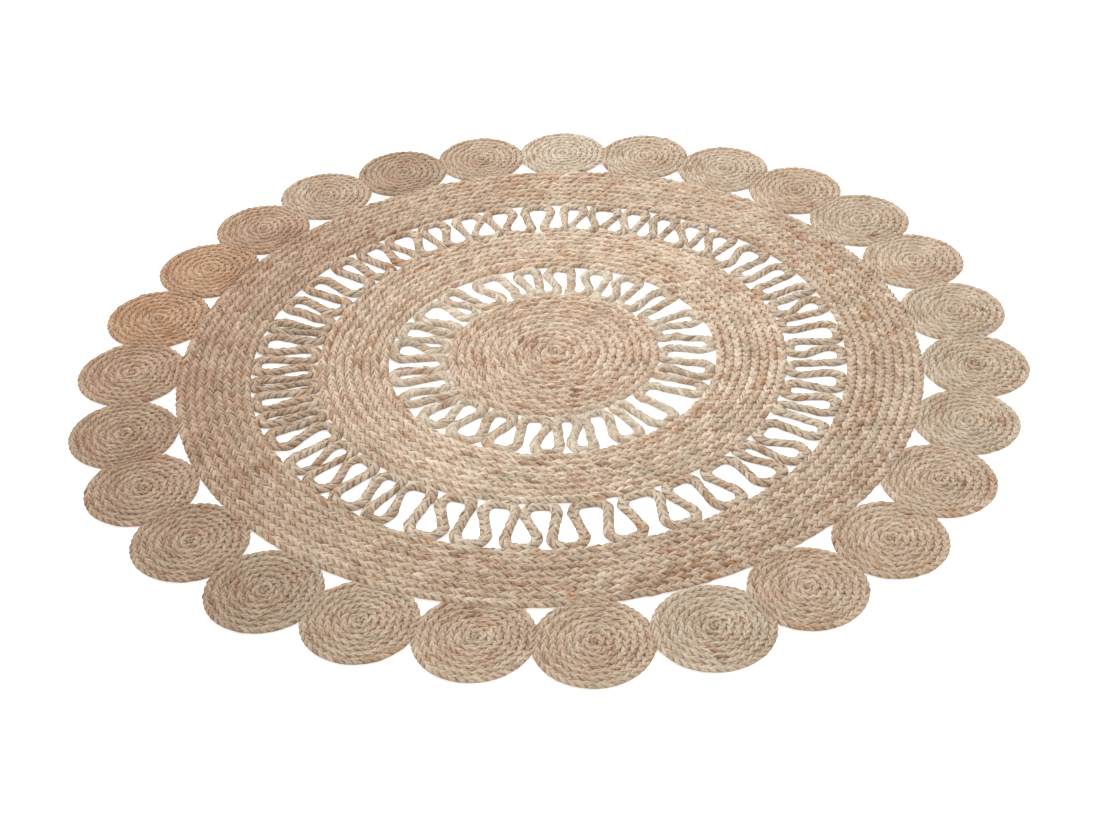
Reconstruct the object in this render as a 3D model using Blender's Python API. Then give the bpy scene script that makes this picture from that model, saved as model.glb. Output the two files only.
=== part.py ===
"""Round jute rug, 1.5 m across, made of plaits that are sewn together flat.

A coiled disc lies in the middle. Round it come a ring of looped plait, a band of plait wound in
rounds, a second ring of loops and a wider band. A row of small coiled roundels closes the rim.
The rug lies on z = 0 with its centre on the Z axis. Angles are in degrees, counter-clockwise
from +X, and lengths are in metres.
"""
from collections import namedtuple
from math import asin, atan2, cos, hypot, pi, radians, sin, sqrt, tau

import bmesh
import bpy
from mathutils import Vector

MM = 0.001

# ---------------------------------------------------------------------------------------------
# Driving sizes
# ---------------------------------------------------------------------------------------------

SEAM_GAP = 0.3 * MM            # clearance that neighbouring pieces keep at their seam

# The thick plait of the coil, the bands and the loops, and the finer plait of the roundels.
THICK_CREST = 10.0 * MM        # height of a round at its middle
THICK_GROOVE = 6.5 * MM        # height at the seam between two rounds
FINE_CREST = 8.5 * MM
FINE_GROOVE = 5.5 * MM

# Circles that bound the wound pieces: centre x, centre y, radius.
Circle = namedtuple("Circle", "x y radius")
COIL_EDGE = Circle(8.0 * MM, 4.0 * MM, 168.0 * MM)
MIDDLE_INSIDE = Circle(6.0 * MM, 2.0 * MM, 262.0 * MM)
MIDDLE_OUTSIDE = Circle(6.0 * MM, 2.0 * MM, 373.0 * MM)
OUTER_INSIDE = Circle(0.0, 0.0, 474.0 * MM)
OUTER_OUTSIDE = Circle(0.0, 0.0, 590.0 * MM)

# Rounds of plait in each wound piece. A disc also has the knob that its plait starts from.
COIL_ROUNDS = 12
MIDDLE_ROUNDS = 8
OUTER_ROUNDS = 8
ROUNDEL_ROUNDS = 7

# Flats round each wound piece. The rounds near a disc's middle have half as many.
COIL_FLATS = 20
MIDDLE_FLATS = 30
OUTER_FLATS = 40
ROUNDEL_FLATS = 12
COARSE_COIL_ROUNDS = 4
COARSE_ROUNDEL_ROUNDS = 3

# The strand of the looped rings, and how its heads bend.
STRAND_WIDTH = 14.0 * MM
STRAND_TOP_WIDTH = 9.0 * MM
STRAND_SEAT_GAP = 0.7 * MM     # from a head's round back to the plait that it is sewn to
NECK_GAP = 1.0 * MM            # least gap between the sides of two heads in one row
HEAD_DEPTH = 20.0 * MM         # from a head's back to where it is widest
HEAD_ROUNDNESS = 0.95          # a narrow head is this deep for each unit of its half width
HEAD_FLAT = 0.55               # share of the half width over which the head's back is flat
LONG_BEND = 14.0 * MM          # a bend longer than this gets a point in its middle

# One row for each wave of a looped ring: the angle and the hole of the head that is sewn to the
# outer plait, then those of the next head, which is sewn to the inner plait. Holes are in mm.
Wave = namedtuple("Wave", "out_angle out_hole in_angle in_hole")
INNER_WAVES = [Wave(*row) for row in (
    (-169.9, 14, -160.7, 21), (-154.9, 13, -146.5, 6), (-139.5, 25, -133.0, 24),
    (-123.8, 32, -115.1, 22), (-108.4, 31, -97.9, 25), (-91.9, 23, -82.9, 18),
    (-78.9, 18, -68.6, 22), (-61.9, 25, -54.2, 6), (-46.5, 28, -35.9, 26),
    (-25.9, 18, -18.8, 10), (-14.1, 23, -3.8, 23), (3.0, 21, 14.5, 18),
    (20.8, 20, 28.5, 22), (38.3, 19, 45.5, 20), (54.8, 23, 59.1, 20),
    (68.4, 25, 73.1, 19), (83.6, 26, 88.5, 16), (96.8, 18, 101.1, 11),
    (112.5, 31, 119.5, 24), (130.5, 17, 133.5, 16), (143.4, 40, 151.5, 8),
    (159.4, 28, 166.4, 13), (171.6, 32, 182.3, 19),
)]
OUTER_WAVES = [Wave(*row) for row in (
    (-174.5, 8, -172.0, 10), (-168.4, 22, -165.6, 8), (-162.7, 9, -160.2, 8),
    (-155.6, 25, -152.5, 28), (-146.1, 26, -144.7, 21), (-139.7, 30, -137.3, 28),
    (-131.7, 31, -128.1, 25), (-124.1, 19, -120.8, 33), (-114.2, 34, -111.2, 30),
    (-105.6, 29, -101.6, 32), (-96.4, 31, -93.0, 32), (-87.9, 32, -82.7, 37),
    (-77.4, 35, -71.8, 41), (-66.8, 33, -62.1, 34), (-56.7, 30, -51.7, 39),
    (-46.3, 34, -42.9, 16), (-38.4, 28, -34.7, 33), (-29.8, 22, -25.6, 9),
    (-21.6, 28, -18.2, 21), (-13.5, 31, -9.9, 18), (-4.5, 28, -1.7, 23),
    (3.3, 37, 8.1, 21), (13.4, 25, 15.1, 24), (19.9, 10, 23.1, 21),
    (28.3, 23, 32.1, 20), (37.4, 33, 41.1, 26), (46.4, 27, 48.3, 23),
    (54.0, 28, 56.0, 31), (61.1, 25, 64.0, 23), (68.4, 26, 71.6, 24),
    (75.4, 36, 79.5, 31), (82.6, 22, 86.6, 26), (90.8, 32, 96.0, 31),
    (99.6, 31, 104.3, 34), (107.0, 29, 111.9, 30), (115.3, 25, 119.6, 26),
    (123.2, 37, 126.9, 20), (130.9, 30, 135.4, 18), (138.9, 19, 143.9, 28),
    (148.1, 22, 153.6, 22), (156.4, 17, 162.4, 23), (164.8, 8, 167.5, 15),
    (171.2, 29, 175.3, 17), (178.9, 21, 182.3, 17),
)]

# One row for each roundel, counter-clockwise from the front: the angle of its centre, the
# distance of its centre from the rug's centre in mm, its radius in mm, and its shade of jute.
Roundel = namedtuple("Roundel", "angle distance radius shade")
ROUNDELS = [Roundel(*row) for row in (
    (-86.4, 664.0, 82.6, "tan"), (-72.7, 675.5, 82.6, "greyed"), (-59.9, 667.0, 82.0, "tan"),
    (-46.4, 670.0, 80.8, "straw"), (-33.1, 661.4, 83.2, "straw"), (-19.9, 662.6, 78.5, "tan"),
    (-7.1, 672.0, 82.6, "straw"), (6.1, 665.0, 83.8, "tan"), (20.0, 667.0, 83.2, "straw"),
    (33.5, 670.0, 85.0, "tan"), (46.4, 668.0, 80.8, "straw"), (59.3, 665.5, 81.4, "greyed"),
    (72.8, 664.0, 81.4, "greyed"), (86.1, 662.0, 79.0, "tan"), (99.4, 663.0, 79.0, "greyed"),
    (112.6, 665.0, 80.8, "brown"), (125.9, 670.0, 81.4, "straw"), (138.9, 661.0, 82.0, "tan"),
    (152.2, 654.0, 85.0, "rust"), (166.2, 665.0, 85.0, "greyed"), (179.8, 667.0, 85.0, "tan"),
    (193.6, 674.0, 83.2, "greyed"), (205.9, 675.0, 83.8, "rust"), (218.9, 668.5, 84.4, "greyed"),
    (232.7, 667.0, 83.2, "brown"), (245.9, 658.0, 80.2, "tan"), (259.8, 652.0, 83.2, "brown"),
)]
PRESSED_SHARE = 3              # the power with which pressing fades from a roundel's rim inwards

# Shades of the jute, as linear red, green and blue.
SHADES = {
    "straw": (0.48, 0.35, 0.22),
    "tan": (0.41, 0.28, 0.17),
    "greyed": (0.42, 0.33, 0.22),
    "brown": (0.33, 0.23, 0.14),
    "rust": (0.42, 0.26, 0.15),
}
JUTE_ROUGHNESS = 0.92
SHARP_EDGE = radians(35)


# ---------------------------------------------------------------------------------------------
# Setting up
# ---------------------------------------------------------------------------------------------

def clear_scene():
    for old in list(bpy.data.objects):
        bpy.data.objects.remove(old, do_unlink=True)


def jute(name, shade):
    """Matt plant fibre in one shade."""
    material = bpy.data.materials.new(name + "_jute")
    material.use_nodes = True
    shader = material.node_tree.nodes["Principled BSDF"]
    shader.inputs["Base Color"].default_value = (*SHADES[shade], 1.0)
    shader.inputs["Roughness"].default_value = JUTE_ROUGHNESS
    shader.inputs["Metallic"].default_value = 0.0
    return material


def finish(bm, name, shade, parent):
    """Turn a bmesh into a named, smooth-shaded object of jute."""
    bmesh.ops.recalc_face_normals(bm, faces=bm.faces)
    mesh = bpy.data.meshes.new(name)
    bm.to_mesh(mesh)
    bm.free()
    mesh.shade_smooth()
    mesh.set_sharp_from_angle(angle=SHARP_EDGE)
    mesh.materials.append(jute(name, shade))
    piece = bpy.data.objects.new(name, mesh)
    bpy.context.scene.collection.objects.link(piece)
    piece.parent = parent
    return piece


# ---------------------------------------------------------------------------------------------
# Wound pieces: discs and bands whose rounds of plait stand up as ridges
# ---------------------------------------------------------------------------------------------

def ridges(start, end, rounds, crest, groove):
    """Profile points (radius, height) across rounds of plait, from one edge to the other."""
    pitch = (end - start) / rounds
    points = [(start, groove)]
    for i in range(rounds):
        points.append((start + (i + 0.5) * pitch, crest))
        points.append((start + (i + 1) * pitch, groove))
    return points


def spin_profile(bm, points, flats):
    """Turn profile points about the Z axis and close the seam."""
    verts = [bm.verts.new((radius, 0.0, height)) for radius, height in points]
    edges = [bm.edges.new(pair) for pair in zip(verts, verts[1:])]
    bmesh.ops.spin(bm, geom=verts + edges, cent=(0, 0, 0), axis=(0, 0, 1), angle=tau,
                   steps=flats, use_merge=True, use_duplicate=False)
    bmesh.ops.remove_doubles(bm, verts=bm.verts, dist=0.01 * MM)


def wound_band(name, inside, outside, rounds, flats, shade, parent):
    """A flat ring of plait. Its inner edge clears the circle inside it at every flat."""
    inner = inside.radius / cos(pi / flats)
    top = ridges(inner, outside.radius, rounds, THICK_CREST, THICK_GROOVE)
    profile = [(inner, 0.0), *top, (outside.radius, 0.0), (inner, 0.0)]
    bm = bmesh.new()
    spin_profile(bm, profile, flats)
    band = finish(bm, name, shade, parent)
    band.location = (outside.x, outside.y, 0.0)
    return band


def coarsen_middle(bm, limit, flats):
    """Weld every second point of the rounds inside a radius to the point before it."""
    step = tau / flats
    rings = {}
    for vert in bm.verts:
        radius = hypot(vert.co.x, vert.co.y)
        if 0.1 * MM < radius < limit:
            place = round(atan2(vert.co.y, vert.co.x) / step) % flats
            rings[(round(radius / MM, 2), place)] = vert
    welds = {vert: rings[(radius, place - 1)]
             for (radius, place), vert in rings.items() if place % 2}
    bmesh.ops.weld_verts(bm, targetmap=welds)


def wound_disc(radius, rounds, coarse_rounds, flats, crest, groove):
    """A coiled disc with the knob in its middle and a flat underside, as a bmesh."""
    knob = radius / (2 * rounds + 1)
    top = [(0.0, crest), *ridges(knob, radius, rounds, crest, groove)]
    bm = bmesh.new()
    spin_profile(bm, [*top, (radius, 0.0)], flats)
    coarsen_middle(bm, knob * (2 * coarse_rounds + 1.5), flats)
    rim = [edge for edge in bm.edges if edge.is_boundary]
    bmesh.ops.contextual_create(bm, geom=rim)
    return bm


# ---------------------------------------------------------------------------------------------
# Roundels, pressed flat where they meet each other and the outer band
# ---------------------------------------------------------------------------------------------

def roundel_centre(row):
    angle = radians(row.angle)
    return Vector((cos(angle), sin(angle))) * row.distance * MM


def pressing_lines(index):
    """Lines that bound a roundel, as (direction from its centre, distance).

    Directions are in the roundel's own frame, whose +X points away from the rug's centre.
    """
    row = ROUNDELS[index]
    centre = roundel_centre(row)
    lines = [(pi, row.distance * MM - OUTER_OUTSIDE.radius - SEAM_GAP)]
    for other in (ROUNDELS[index - 1], ROUNDELS[(index + 1) % len(ROUNDELS)]):
        apart = roundel_centre(other) - centre
        reach = apart.length
        share = (reach**2 + (row.radius * MM)**2 - (other.radius * MM)**2) / (2 * reach)
        heading = atan2(apart.y, apart.x) - radians(row.angle)
        lines.append((heading, share - SEAM_GAP / 2))
    return lines


def press(bm, radius, lines):
    """Draw the rim in behind each line, and the rounds inside it less and less."""
    for vert in bm.verts:
        heading = atan2(vert.co.y, vert.co.x)
        limit = radius
        for direction, distance in lines:
            facing = cos(heading - direction)
            if facing > 0.0:
                limit = min(limit, distance / facing)
        share = hypot(vert.co.x, vert.co.y) / radius
        scale = 1.0 - (1.0 - limit / radius) * share**PRESSED_SHARE
        vert.co.x *= scale
        vert.co.y *= scale


def roundel(index, parent):
    row = ROUNDELS[index]
    radius = row.radius * MM
    bm = wound_disc(radius, ROUNDEL_ROUNDS, COARSE_ROUNDEL_ROUNDS, ROUNDEL_FLATS,
                    FINE_CREST, FINE_GROOVE)
    press(bm, radius, pressing_lines(index))
    piece = finish(bm, f"roundel_{index + 1:02d}", row.shade, parent)
    piece.location = (*roundel_centre(row), 0.0)
    piece.rotation_euler = (0.0, 0.0, radians(row.angle))
    return piece


# ---------------------------------------------------------------------------------------------
# Looped rings: one strand of plait laid in omega-shaped loops between two wound pieces
# ---------------------------------------------------------------------------------------------

def reach_of(circle, angle):
    """Distance from the rug's centre to a circle along the ray at an angle."""
    along = circle.x * cos(angle) + circle.y * sin(angle)
    across = circle.x * sin(angle) - circle.y * cos(angle)
    return along + sqrt(circle.radius**2 - across**2)


def fit_heads(angles, holes, level):
    """Half widths of a row of heads, narrowed where two neighbours would touch."""
    wanted = [(hole * MM + STRAND_WIDTH) / 2 for hole in holes]
    fitted = list(wanted)
    for i in range(len(angles)):
        turn = radians((angles[i] - angles[i - 1]) % 360.0)
        room = turn * level - STRAND_WIDTH - NECK_GAP
        crowding = min(1.0, room / (wanted[i] + wanted[i - 1]))
        fitted[i] = min(fitted[i], wanted[i] * crowding)
        fitted[i - 1] = min(fitted[i - 1], wanted[i - 1] * crowding)
    return fitted


def head_points(angle, half_width, back, inwards):
    """Four points of a head: its widest point, the two ends of its flat back, and the other side.

    inwards is +1 for a head sewn to the outer plait and -1 for one sewn to the inner plait.
    """
    widest = back - inwards * min(HEAD_DEPTH, HEAD_ROUNDNESS * half_width)
    flat = half_width * HEAD_FLAT
    corners = ((-half_width, widest), (-flat, back), (flat, back), (half_width, widest))
    points = []
    for across, radius in corners:
        place = angle + asin(across / radius)
        points.append(Vector((cos(place), sin(place))) * radius)
    return points


def loop_corners(waves, inner, outer):
    """Corners of the strand's closed centre line, head after head."""
    seat = STRAND_WIDTH / 2 + STRAND_SEAT_GAP
    out_level = outer.radius - seat - HEAD_DEPTH
    in_level = inner.radius + seat + HEAD_DEPTH / 2
    out_widths = fit_heads([w.out_angle for w in waves], [w.out_hole for w in waves], out_level)
    in_widths = fit_heads([w.in_angle for w in waves], [w.in_hole for w in waves], in_level)
    corners = []
    for wave, out_width, in_width in zip(waves, out_widths, in_widths):
        angle = radians(wave.out_angle)
        corners += head_points(angle, out_width, reach_of(outer, angle) - seat, 1)
        angle = radians(wave.in_angle)
        corners += head_points(angle, in_width, reach_of(inner, angle) + seat, -1)
    return corners


def rounded(corners):
    """The centre line with a point in the middle of each long bend, on a smooth curve."""
    count = len(corners)
    points = []
    for i, here in enumerate(corners):
        before, after, beyond = corners[i - 1], corners[(i + 1) % count], corners[(i + 2) % count]
        points.append(here)
        bend = (after - here).length
        if i % 4 in (0, 2) and bend > LONG_BEND:
            turning = (here - before).normalized() - (beyond - after).normalized()
            points.append((here + after) / 2 + bend / 16 * turning)
    return points


def looped_ring(name, waves, inner, outer, shade, parent):
    """A flat strand along its loops: a ribbon on the floor, drawn up and narrowed at the top."""
    path = rounded(loop_corners(waves, inner, outer))
    count = len(path)
    bm = bmesh.new()
    centre_of = bm.verts.layers.float_vector.new("centre")
    sides = []
    for i, here in enumerate(path):
        arriving = (here - path[i - 1]).normalized()
        leaving = (path[(i + 1) % count] - here).normalized()
        heading = (arriving + leaving).normalized()
        reach = STRAND_WIDTH / 2 / heading.dot(leaving)
        across = Vector((-heading.y, heading.x)) * reach
        pair = []
        for side in (1, -1):
            vert = bm.verts.new((*(here + side * across), 0.0))
            vert[centre_of] = (*here, 0.0)
            pair.append(vert)
        sides.append(pair)
    for i, (left, right) in enumerate(sides):
        next_left, next_right = sides[(i + 1) % count]
        bm.faces.new((left, next_left, next_right, right))
    drawn = bmesh.ops.extrude_face_region(bm, geom=bm.faces[:])
    for vert in drawn["geom"]:
        if isinstance(vert, bmesh.types.BMVert):
            centre = vert[centre_of]
            vert.co = centre + (vert.co - centre) * (STRAND_TOP_WIDTH / STRAND_WIDTH)
            vert.co.z = THICK_CREST
    return finish(bm, name, shade, parent)


# ---------------------------------------------------------------------------------------------
# The rug
# ---------------------------------------------------------------------------------------------

def build():
    clear_scene()
    rug = bpy.data.objects.new("rug", None)
    bpy.context.scene.collection.objects.link(rug)

    disc = wound_disc(COIL_EDGE.radius, COIL_ROUNDS, COARSE_COIL_ROUNDS, COIL_FLATS,
                      THICK_CREST, THICK_GROOVE)
    coil = finish(disc, "centre_coil", "straw", rug)
    coil.location = (COIL_EDGE.x, COIL_EDGE.y, 0.0)

    looped_ring("inner_meander", INNER_WAVES, COIL_EDGE, MIDDLE_INSIDE, "greyed", rug)
    wound_band("middle_band", MIDDLE_INSIDE, MIDDLE_OUTSIDE, MIDDLE_ROUNDS, MIDDLE_FLATS,
               "straw", rug)
    looped_ring("outer_meander", OUTER_WAVES, MIDDLE_OUTSIDE, OUTER_INSIDE, "greyed", rug)
    wound_band("outer_band", OUTER_INSIDE, OUTER_OUTSIDE, OUTER_ROUNDS, OUTER_FLATS, "tan", rug)

    for index in range(len(ROUNDELS)):
        roundel(index, rug)


build()
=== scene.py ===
"""Round jute rug, dressed for the camera.

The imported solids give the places. Each of them is replaced by real plait: rounds or loops of
three-strand jute braid, with a rounded lobe for every time that a strand comes to the edge.
Lengths are in metres and angles in radians, but the tables of waves and roundels are in
millimetres and degrees. +Z is up.
"""

from collections import namedtuple
from math import atan2, cos, pi, radians, sin, tau

import bmesh
import bpy
import numpy as np
from mathutils import Matrix, Vector


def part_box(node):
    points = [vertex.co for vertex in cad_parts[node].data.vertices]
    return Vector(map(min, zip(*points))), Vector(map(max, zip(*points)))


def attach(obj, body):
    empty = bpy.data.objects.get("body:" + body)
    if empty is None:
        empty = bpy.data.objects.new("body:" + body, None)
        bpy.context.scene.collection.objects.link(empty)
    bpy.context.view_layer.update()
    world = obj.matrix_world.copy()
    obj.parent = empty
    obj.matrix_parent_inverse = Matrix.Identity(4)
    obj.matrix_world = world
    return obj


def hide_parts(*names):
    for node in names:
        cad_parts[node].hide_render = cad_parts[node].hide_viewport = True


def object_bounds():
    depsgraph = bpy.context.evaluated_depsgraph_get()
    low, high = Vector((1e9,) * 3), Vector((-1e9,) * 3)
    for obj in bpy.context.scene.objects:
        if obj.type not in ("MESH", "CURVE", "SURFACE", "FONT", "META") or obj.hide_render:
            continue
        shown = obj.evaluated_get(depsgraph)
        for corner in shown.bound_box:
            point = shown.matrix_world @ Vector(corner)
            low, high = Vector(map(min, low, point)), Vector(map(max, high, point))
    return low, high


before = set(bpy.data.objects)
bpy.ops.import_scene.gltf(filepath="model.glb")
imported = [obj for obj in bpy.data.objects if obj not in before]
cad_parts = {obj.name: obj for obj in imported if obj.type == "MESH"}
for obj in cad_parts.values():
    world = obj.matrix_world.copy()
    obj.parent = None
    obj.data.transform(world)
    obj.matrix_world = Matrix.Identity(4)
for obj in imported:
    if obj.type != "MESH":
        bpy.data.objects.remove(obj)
CAD_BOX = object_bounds()

MM = 0.001

# ---------------------------------------------------------------------------------------------
# Sizes of the rug
# ---------------------------------------------------------------------------------------------

SEAM_GAP = 0.3 * MM              # between neighbouring pieces

# A braid: its thickness, and how far along it one lobe follows the next.
Braid = namedtuple("Braid", "thickness pitch")
COIL_BRAID = Braid(10.0 * MM, 13.4 * MM)
MIDDLE_BRAID = Braid(10.0 * MM, 13.3 * MM)
OUTER_BRAID = Braid(10.0 * MM, 12.6 * MM)
LOOP_BRAID = Braid(9.0 * MM, 13.0 * MM)
FINE_BRAID = Braid(8.5 * MM, 11.7 * MM)

COIL_ROUNDS = 12
BAND_ROUNDS = 8
ROUNDEL_ROUNDS = 7
MIDDLE_BAND_WIDTH = 111.0 * MM
OUTER_BAND_WIDTH = 116.0 * MM

# How the looped strands run and bend.
LOOP_WIDTH = 14.0 * MM           # of the strand at a head's back
LOOP_SEAT_GAP = 0.7 * MM         # from a head's back to the plait that it is sewn to
NECK_GAP = 0.6 * MM              # between the sides of two heads in one row that lie together
LEGS_BETWEEN_HOLES = 2
LEG_LEAST = 5.2 * MM             # half width of a strand that is squeezed between two holes
LEG_LOOSE = 7.0 * MM             # half width of a strand that lies loosely
LEG_PRESSED = 9.0 * MM           # the same at the rug's left, where the loops are pressed flatter
HEAD_DEPTH = 14.0 * MM           # from a head's back to where it is widest
HEAD_ROUNDNESS = 0.95            # a narrow head is this deep for each unit of its half width,
HEAD_LEAST_DEPTH = 3.0 * MM      # and this much deeper
HEAD_FLAT = 0.64                 # share of the half width over which the head's back is flat
SIDE_RUN = 10.0 * MM             # from where a head is widest to where its legs turn to the next
SIDE_DRAWN_IN = 0.95             # half width of a head there, as a share of its widest
BEND_SPREAD = 0.9                # how much the plait spreads on the outside of a bend
BEND_EASE = 5.0 * MM             # over this length of strand the corners are rounded off
STRAND_SAMPLE = 0.5 * MM         # spacing of the points along a strand while it is rounded off

# One row for each wave of a looped strand: the angle and the hole of the head that is sewn to
# the outer plait, then those of the next head, which is sewn to the inner plait.
Wave = namedtuple("Wave", "out_angle out_hole in_angle in_hole")
INNER_WAVES = [Wave(*row) for row in (
    (-169.9, 14, -160.7, 21), (-154.9, 13, -146.5, 6), (-139.5, 25, -133.0, 24),
    (-123.8, 32, -115.1, 22), (-108.4, 31, -97.9, 25), (-91.9, 23, -82.9, 18),
    (-78.9, 18, -68.6, 22), (-61.9, 25, -54.2, 6), (-46.5, 28, -35.9, 26),
    (-25.9, 18, -18.8, 10), (-14.1, 23, -3.8, 23), (3.0, 21, 14.5, 18),
    (20.8, 20, 28.5, 22), (38.3, 19, 45.5, 20), (54.8, 23, 59.1, 20),
    (68.4, 25, 73.1, 19), (83.6, 26, 88.5, 16), (96.8, 18, 101.1, 11),
    (112.5, 31, 119.5, 24), (130.5, 17, 133.5, 16), (143.4, 40, 151.5, 8),
    (159.4, 28, 166.4, 13), (171.6, 32, 182.3, 19),
)]
OUTER_WAVES = [Wave(*row) for row in (
    (-174.5, 8, -172.0, 10), (-168.4, 22, -165.6, 8), (-162.7, 9, -160.2, 8),
    (-155.6, 25, -152.5, 28), (-146.1, 26, -144.7, 21), (-139.7, 30, -137.3, 28),
    (-131.7, 31, -128.1, 25), (-124.1, 19, -120.8, 33), (-114.2, 34, -111.2, 30),
    (-105.6, 29, -101.6, 32), (-96.4, 31, -93.0, 32), (-87.9, 32, -82.7, 37),
    (-77.4, 35, -71.8, 41), (-66.8, 33, -62.1, 34), (-56.7, 30, -51.7, 39),
    (-46.3, 34, -42.9, 16), (-38.4, 28, -34.7, 33), (-29.8, 22, -25.6, 9),
    (-21.6, 28, -18.2, 21), (-13.5, 31, -9.9, 18), (-4.5, 28, -1.7, 23),
    (3.3, 37, 8.1, 21), (13.4, 25, 15.1, 24), (19.9, 10, 23.1, 21),
    (28.3, 23, 32.1, 20), (37.4, 33, 41.1, 26), (46.4, 27, 48.3, 23),
    (54.0, 28, 56.0, 31), (61.1, 25, 64.0, 23), (68.4, 26, 71.6, 24),
    (75.4, 36, 79.5, 31), (82.6, 22, 86.6, 26), (90.8, 32, 96.0, 31),
    (99.6, 31, 104.3, 34), (107.0, 29, 111.9, 30), (115.3, 25, 119.6, 26),
    (123.2, 37, 126.9, 20), (130.9, 30, 135.4, 18), (138.9, 19, 143.9, 28),
    (148.1, 22, 153.6, 22), (156.4, 17, 162.4, 23), (164.8, 8, 167.5, 15),
    (171.2, 29, 175.3, 17), (178.9, 21, 182.3, 17),
)]

# One row for each roundel, counter-clockwise from the front: the angle of its centre, the
# distance of its centre from the rug's centre, its radius, and its shade of jute.
Roundel = namedtuple("Roundel", "angle distance radius shade")
ROUNDELS = [Roundel(*row) for row in (
    (-86.4, 664.0, 82.6, "bran"), (-72.7, 675.5, 82.6, "straw"), (-59.9, 667.0, 82.0, "bran"),
    (-46.4, 670.0, 80.8, "bran"), (-33.1, 661.4, 83.2, "tan"), (-19.9, 662.6, 78.5, "straw"),
    (-7.1, 672.0, 82.6, "straw"), (6.1, 665.0, 83.8, "straw"), (20.0, 667.0, 83.2, "tan"),
    (33.5, 670.0, 85.0, "straw"), (46.4, 668.0, 80.8, "bran"), (59.3, 665.5, 81.4, "straw"),
    (72.8, 664.0, 81.4, "straw"), (86.1, 662.0, 79.0, "pale"), (99.4, 663.0, 79.0, "greyed"),
    (112.6, 665.0, 80.8, "drab"), (125.9, 670.0, 81.4, "pale"), (138.9, 661.0, 82.0, "bran"),
    (152.2, 654.0, 85.0, "rust"), (166.2, 665.0, 85.0, "rust"), (179.8, 667.0, 85.0, "bran"),
    (193.6, 674.0, 83.2, "greyed"), (205.9, 675.0, 83.8, "straw"),
    (218.9, 668.5, 84.4, "greyed"), (232.7, 667.0, 83.2, "drab"),
    (245.9, 658.0, 80.2, "greyed"), (259.8, 652.0, 83.2, "bran"),
)]
PRESSED_POWER = 3                # with this power pressing fades from a roundel's rim inwards
FACING_LEAST = 0.05              # directions that face a line less than this don't reach it

Circle = namedtuple("Circle", "x y radius")


def circle_of(node):
    """The circle round the outside of a round CAD node."""
    low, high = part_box(node)
    return Circle((low.x + high.x) / 2, (low.y + high.y) / 2, (high.x - low.x) / 2)


def narrowed(circle, width):
    return Circle(circle.x, circle.y, circle.radius - width)


COIL_EDGE = circle_of("centre_coil")
MIDDLE_OUTSIDE = circle_of("middle_band")
MIDDLE_INSIDE = narrowed(MIDDLE_OUTSIDE, MIDDLE_BAND_WIDTH)
OUTER_OUTSIDE = circle_of("outer_band")
OUTER_INSIDE = narrowed(OUTER_OUTSIDE, OUTER_BAND_WIDTH)

# ---------------------------------------------------------------------------------------------
# The form of the braid
# ---------------------------------------------------------------------------------------------

STRANDS = 3
ROWS = 5                         # rows of faces in the length of one lobe
LEFT_START = 2                   # the left lobes start this many rows before the right ones
ARCH = np.array((0.0, 0.78, 1.0, 1.0, 0.74))   # how high a lobe stands over its crease, by row
LOBE_RUN = 0.86                  # pitches that a strand runs along while it crosses to the edge
CREASE_ANGLE = radians(58)       # sharper folds than this are creases between two strands

# In half widths: the middle line's swing from side to side, how far a lobe stands out at the
# edge, how uneven that is, what is added to it round the outside of a wound piece, and how far
# the edge's creases reach into the next round's.
CENTRE_SWAY = 0.11
EDGE_BULGE = 0.06
EDGE_SPREAD = 0.06
RIM_BULGE = 0.16
EDGE_OVERLAP = 0.02

# Half of a section across the braid, from its middle over the top and the edge to its
# underside. across is in half widths, crest and crease in thicknesses, and run in LOBE_RUNs.
Section = namedtuple("Section", "across crest crease run")
BAND_SECTION = [Section(*row) for row in (
    (0.00, 0.87, 0.78, 0.0), (0.34, 0.98, 0.68, 0.34), (0.72, 0.92, 0.62, 0.72),
    (1.00, 0.54, 0.38, 1.0), (0.50, 0.03, 0.03, 1.3),
)]
FULL_SECTION = [Section(*row) for row in (
    (0.00, 0.87, 0.80, 0.0), (0.28, 0.96, 0.70, 0.28), (0.58, 0.97, 0.66, 0.58),
    (0.84, 0.76, 0.52, 0.84), (1.00, 0.42, 0.29, 1.0), (0.60, 0.03, 0.03, 1.3),
)]
FINE_SECTION = [Section(*row) for row in (
    (0.00, 0.90, 0.83, 0.0), (0.34, 0.98, 0.75, 0.34), (0.72, 0.93, 0.68, 0.72),
    (1.00, 0.58, 0.44, 1.0), (0.50, 0.03, 0.03, 1.3),
)]
LOOP_SECTION = [Section(*row) for row in (
    (0.00, 0.93, 0.87, 0.0), (0.32, 0.98, 0.82, 0.32), (0.62, 0.92, 0.74, 0.62),
    (0.87, 0.72, 0.57, 0.87), (1.00, 0.42, 0.37, 1.1), (0.80, 0.12, 0.12, 1.3),
    (0.40, 0.02, 0.02, 1.5),
)]
EDGE_FROM = 0.95                 # a section's points further across than this are at its edge
TOP_FROM = 0.2                   # and those with a higher crest than this aren't underneath

# How uneven the handwork is.
LOBE_HEIGHT_SPREAD = 0.06        # in thicknesses
CREASE_SHARE = 0.3               # how much of that moves the creases too
LOBE_SIDE_SPREAD = 0.07          # in half widths
LOBE_SLIP_SPREAD = 0.06          # in pitches
LOBE_START_SPREAD = 0.13         # of the places where lobes meet, in pitches
POINT_HEIGHT_SPREAD = 0.016      # of single points, in thicknesses
POINT_SIDE_SPREAD = 0.032        # of single points, in half widths
DRIFT = 1.3 * MM                 # the most that rounds wander from true circles
DRIFT_WAVES = ((7.1, 3.3, 0.4), (-4.6, 9.7, 2.1), (13.9, -8.2, 4.4), (17.0, 12.6, 5.3))
DRIFT_SKEW = 1.3                 # how much faster they wander in y than in x

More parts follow.
